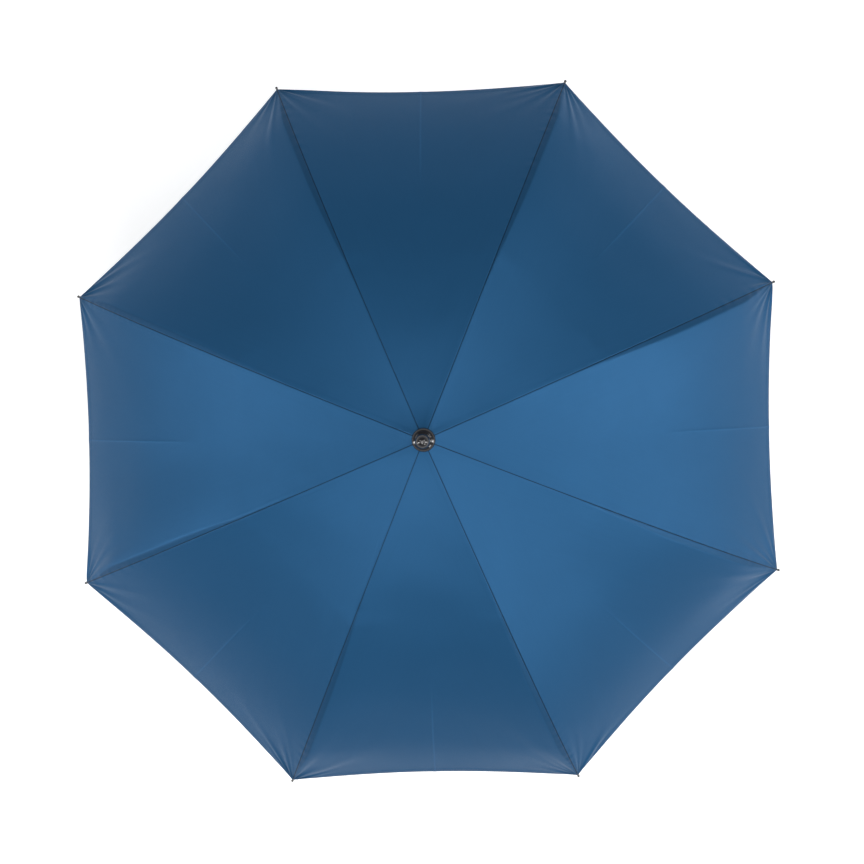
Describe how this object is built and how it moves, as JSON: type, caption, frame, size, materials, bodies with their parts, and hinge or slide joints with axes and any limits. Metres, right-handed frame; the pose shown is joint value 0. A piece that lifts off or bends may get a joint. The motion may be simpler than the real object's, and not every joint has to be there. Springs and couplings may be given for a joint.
{
  "type": "stick umbrella",
  "caption": "Open stick umbrella: fabric canopy on jointed ribs that fold with a runner on a metal shaft, crook handle below and domed ferrule on top",
  "frame": {"origin": "the middle of the handle's straight grip, on the axis of the shaft", "axes": "+Z along the shaft towards the ferrule; -Y the way the crook bends; ribs every 45 degrees from 22.5 degrees after +X"},
  "size_m": [0.9892, 0.9892, 0.8294],
  "materials": {
    "canopy_fabric": "navy blue plain-weave polyester",
    "rib_steel": "black lacquered steel",
    "wire_steel": "drawn steel wire",
    "shaft_steel": "black lacquered steel tube",
    "spring_steel": "spring steel",
    "black_plastic": "moulded black plastic",
    "gloss_plastic": "glossy black plastic",
    "tip_plastic": "glossy black plastic",
    "grip_plastic": "satin black plastic",
    "collar_trim": "polished metal ring"
  },
  "bodies": {
    "frame": {"shaft": "shaft_steel", "crown": "black_plastic", "crown_wire": "wire_steel", "top_cap": "gloss_plastic", "ferrule": "gloss_plastic", "canopy_center": "canopy_fabric", "collar": "collar_trim", "handle": "grip_plastic"},
    "rib_1": {"rib_1": "rib_steel", "canopy_inner_1": "canopy_fabric"},
    "rib_2": {"rib_2": "rib_steel", "canopy_inner_2": "canopy_fabric"},
    "rib_3": {"rib_3": "rib_steel", "canopy_inner_3": "canopy_fabric"},
    "rib_4": {"rib_4": "rib_steel", "canopy_inner_4": "canopy_fabric"},
    "rib_5": {"rib_5": "rib_steel", "canopy_inner_5": "canopy_fabric"},
    "rib_6": {"rib_6": "rib_steel", "canopy_inner_6": "canopy_fabric"},
    "rib_7": {"rib_7": "rib_steel", "canopy_inner_7": "canopy_fabric"},
    "rib_8": {"rib_8": "rib_steel", "canopy_inner_8": "canopy_fabric"},
    "rib_end_1": {"rib_end_1": "rib_steel", "rib_tip_1": "tip_plastic", "canopy_outer_1": "canopy_fabric"},
    "rib_end_2": {"rib_end_2": "rib_steel", "rib_tip_2": "tip_plastic", "canopy_outer_2": "canopy_fabric"},
    "rib_end_3": {"rib_end_3": "rib_steel", "rib_tip_3": "tip_plastic", "canopy_outer_3": "canopy_fabric"},
    "rib_end_4": {"rib_end_4": "rib_steel", "rib_tip_4": "tip_plastic", "canopy_outer_4": "canopy_fabric"},
    "rib_end_5": {"rib_end_5": "rib_steel", "rib_tip_5": "tip_plastic", "canopy_outer_5": "canopy_fabric"},
    "rib_end_6": {"rib_end_6": "rib_steel", "rib_tip_6": "tip_plastic", "canopy_outer_6": "canopy_fabric"},
    "rib_end_7": {"rib_end_7": "rib_steel", "rib_tip_7": "tip_plastic", "canopy_outer_7": "canopy_fabric"},
    "rib_end_8": {"rib_end_8": "rib_steel", "rib_tip_8": "tip_plastic", "canopy_outer_8": "canopy_fabric"},
    "stretcher_1": {"stretcher_1": "rib_steel"},
    "stretcher_2": {"stretcher_2": "rib_steel"},
    "stretcher_3": {"stretcher_3": "rib_steel"},
    "stretcher_4": {"stretcher_4": "rib_steel"},
    "stretcher_5": {"stretcher_5": "rib_steel"},
    "stretcher_6": {"stretcher_6": "rib_steel"},
    "stretcher_7": {"stretcher_7": "rib_steel"},
    "stretcher_8": {"stretcher_8": "rib_steel"},
    "runner": {"runner": "black_plastic", "runner_wire": "wire_steel"},
    "top_catch": {"top_catch": "spring_steel"},
    "bottom_catch": {"bottom_catch": "spring_steel"}
  },
  "joints": [
    {"name": "umbrella_fold", "type": "hinge", "parent": "frame", "child": "rib_1", "pos_m": [0.01016, 0.00421, 0.66], "axis": [-0.3827, 0.9239, 0], "range_deg": [0, 73.7], "deforming": ["canopy_inner_1", "canopy_inner_2", "canopy_inner_3", "canopy_inner_4", "canopy_inner_5", "canopy_inner_6", "canopy_inner_7", "canopy_inner_8", "canopy_outer_1", "canopy_outer_2", "canopy_outer_3", "canopy_outer_4", "canopy_outer_5", "canopy_outer_6", "canopy_outer_7", "canopy_outer_8", "canopy_center", "top_catch", "bottom_catch"]},
    {"name": "rib_2_fold", "type": "hinge", "parent": "frame", "child": "rib_2", "pos_m": [0.00421, 0.01016, 0.66], "axis": [-0.9239, 0.3827, 0], "range_deg": [0, 73.7]},
    {"name": "rib_3_fold", "type": "hinge", "parent": "frame", "child": "rib_3", "pos_m": [-0.00421, 0.01016, 0.66], "axis": [-0.9239, -0.3827, 0], "range_deg": [0, 73.7]},
    {"name": "rib_4_fold", "type": "hinge", "parent": "frame", "child": "rib_4", "pos_m": [-0.01016, 0.00421, 0.66], "axis": [-0.3827, -0.9239, 0], "range_deg": [0, 73.7]},
    {"name": "rib_5_fold", "type": "hinge", "parent": "frame", "child": "rib_5", "pos_m": [-0.01016, -0.00421, 0.66], "axis": [0.3827, -0.9239, 0], "range_deg": [0, 73.7]},
    {"name": "rib_6_fold", "type": "hinge", "parent": "frame", "child": "rib_6", "pos_m": [-0.00421, -0.01016, 0.66], "axis": [0.9239, -0.3827, 0], "range_deg": [0, 73.7]},
    {"name": "rib_7_fold", "type": "hinge", "parent": "frame", "child": "rib_7", "pos_m": [0.00421, -0.01016, 0.66], "axis": [0.9239, 0.3827, 0], "range_deg": [0, 73.7]},
    {"name": "rib_8_fold", "type": "hinge", "parent": "frame", "child": "rib_8", "pos_m": [0.01016, -0.00421, 0.66], "axis": [0.3827, 0.9239, 0], "range_deg": [0, 73.7]},
    {"name": "rib_end_1_flex", "type": "hinge", "parent": "rib_1", "child": "rib_end_1", "pos_m": [0.25319, 0.10488, 0.6022], "axis": [0.3827, -0.9239, 0], "range_deg": [0, 18.35]},
    {"name": "rib_end_2_flex", "type": "hinge", "parent": "rib_2", "child": "rib_end_2", "pos_m": [0.10488, 0.25319, 0.6022], "axis": [0.9239, -0.3827, 0], "range_deg": [0, 18.35]},
    {"name": "rib_end_3_flex", "type": "hinge", "parent": "rib_3", "child": "rib_end_3", "pos_m": [-0.10488, 0.25319, 0.6022], "axis": [0.9239, 0.3827, 0], "range_deg": [0, 18.35]},
    {"name": "rib_end_4_flex", "type": "hinge", "parent": "rib_4", "child": "rib_end_4", "pos_m": [-0.25319, 0.10488, 0.6022], "axis": [0.3827, 0.9239, 0], "range_deg": [0, 18.35]},
    {"name": "rib_end_5_flex", "type": "hinge", "parent": "rib_5", "child": "rib_end_5", "pos_m": [-0.25319, -0.10488, 0.6022], "axis": [-0.3827, 0.9239, 0], "range_deg": [0, 18.35]},
    {"name": "rib_end_6_flex", "type": "hinge", "parent": "rib_6", "child": "rib_end_6", "pos_m": [-0.10488, -0.25319, 0.6022], "axis": [-0.9239, 0.3827, 0], "range_deg": [0, 18.35]},
    {"name": "rib_end_7_flex", "type": "hinge", "parent": "rib_7", "child": "rib_end_7", "pos_m": [0.10488, -0.25319, 0.6022], "axis": [-0.9239, -0.3827, 0], "range_deg": [0, 18.35]},
    {"name": "rib_end_8_flex", "type": "hinge", "parent": "rib_8", "child": "rib_end_8", "pos_m": [0.25319, -0.10488, 0.6022], "axis": [-0.3827, -0.9239, 0], "range_deg": [0, 18.35]},
    {"name": "stretcher_1_fold", "type": "hinge", "parent": "rib_1", "child": "stretcher_1", "pos_m": [0.25125, 0.10407, 0.59658], "axis": [0.3827, -0.9239, 0], "range_deg": [0, 147.4]},
    {"name": "stretcher_2_fold", "type": "hinge", "parent": "rib_2", "child": "stretcher_2", "pos_m": [0.10407, 0.25125, 0.59658], "axis": [0.9239, -0.3827, 0], "range_deg": [0, 147.4]},
    {"name": "stretcher_3_fold", "type": "hinge", "parent": "rib_3", "child": "stretcher_3", "pos_m": [-0.10407, 0.25125, 0.59658], "axis": [0.9239, 0.3827, 0], "range_deg": [0, 147.4]},
    {"name": "stretcher_4_fold", "type": "hinge", "parent": "rib_4", "child": "stretcher_4", "pos_m": [-0.25125, 0.10407, 0.59658], "axis": [0.3827, 0.9239, 0], "range_deg": [0, 147.4]},
    {"name": "stretcher_5_fold", "type": "hinge", "parent": "rib_5", "child": "stretcher_5", "pos_m": [-0.25125, -0.10407, 0.59658], "axis": [-0.3827, 0.9239, 0], "range_deg": [0, 147.4]},
    {"name": "stretcher_6_fold", "type": "hinge", "parent": "rib_6", "child": "stretcher_6", "pos_m": [-0.10407, -0.25125, 0.59658], "axis": [-0.9239, 0.3827, 0], "range_deg": [0, 147.4]},
    {"name": "stretcher_7_fold", "type": "hinge", "parent": "rib_7", "child": "stretcher_7", "pos_m": [0.10407, -0.25125, 0.59658], "axis": [-0.9239, -0.3827, 0], "range_deg": [0, 147.4]},
    {"name": "stretcher_8_fold", "type": "hinge", "parent": "rib_8", "child": "stretcher_8", "pos_m": [0.25125, -0.10407, 0.59658], "axis": [-0.3827, -0.9239, 0], "range_deg": [0, 147.4]},
    {"name": "runner_travel", "type": "hinge", "parent": "stretcher_1", "child": "runner", "pos_m": [0.01016, 0.00421, 0.53317], "axis": [-0.3827, 0.9239, 0], "range_deg": [0, 73.7]},
    {"name": "top_catch_press", "type": "slide", "parent": "frame", "child": "top_catch", "axis": [0, 1, 0], "range_m": [0, 0.003], "stiffness_N_per_m": 600},
    {"name": "bottom_catch_press", "type": "slide", "parent": "frame", "child": "bottom_catch", "axis": [0, 1, 0], "range_m": [0, 0.003], "stiffness_N_per_m": 600}
  ],
  "couplings": [
    {"joint": "rib_2_fold", "follows": "umbrella_fold", "ratio": 1},
    {"joint": "rib_3_fold", "follows": "umbrella_fold", "ratio": 1},
    {"joint": "rib_4_fold", "follows": "umbrella_fold", "ratio": 1},
    {"joint": "rib_5_fold", "follows": "umbrella_fold", "ratio": 1},
    {"joint": "rib_6_fold", "follows": "umbrella_fold", "ratio": 1},
    {"joint": "rib_7_fold", "follows": "umbrella_fold", "ratio": 1},
    {"joint": "rib_8_fold", "follows": "umbrella_fold", "ratio": 1},
    {"joint": "rib_end_1_flex", "follows": "umbrella_fold", "ratio": 0.2483},
    {"joint": "rib_end_2_flex", "follows": "umbrella_fold", "ratio": 0.2483},
    {"joint": "rib_end_3_flex", "follows": "umbrella_fold", "ratio": 0.2483},
    {"joint": "rib_end_4_flex", "follows": "umbrella_fold", "ratio": 0.2483},
    {"joint": "rib_end_5_flex", "follows": "umbrella_fold", "ratio": 0.2483},
    {"joint": "rib_end_6_flex", "follows": "umbrella_fold", "ratio": 0.2483},
    {"joint": "rib_end_7_flex", "follows": "umbrella_fold", "ratio": 0.2483},
    {"joint": "rib_end_8_flex", "follows": "umbrella_fold", "ratio": 0.2483},
    {"joint": "stretcher_1_fold", "follows": "umbrella_fold", "ratio": 2},
    {"joint": "stretcher_2_fold", "follows": "umbrella_fold", "ratio": 2},
    {"joint": "stretcher_3_fold", "follows": "umbrella_fold", "ratio": 2},
    {"joint": "stretcher_4_fold", "follows": "umbrella_fold", "ratio": 2},
    {"joint": "stretcher_5_fold", "follows": "umbrella_fold", "ratio": 2},
    {"joint": "stretcher_6_fold", "follows": "umbrella_fold", "ratio": 2},
    {"joint": "stretcher_7_fold", "follows": "umbrella_fold", "ratio": 2},
    {"joint": "stretcher_8_fold", "follows": "umbrella_fold", "ratio": 2},
    {"joint": "runner_travel", "follows": "umbrella_fold", "ratio": 1}
  ]
}
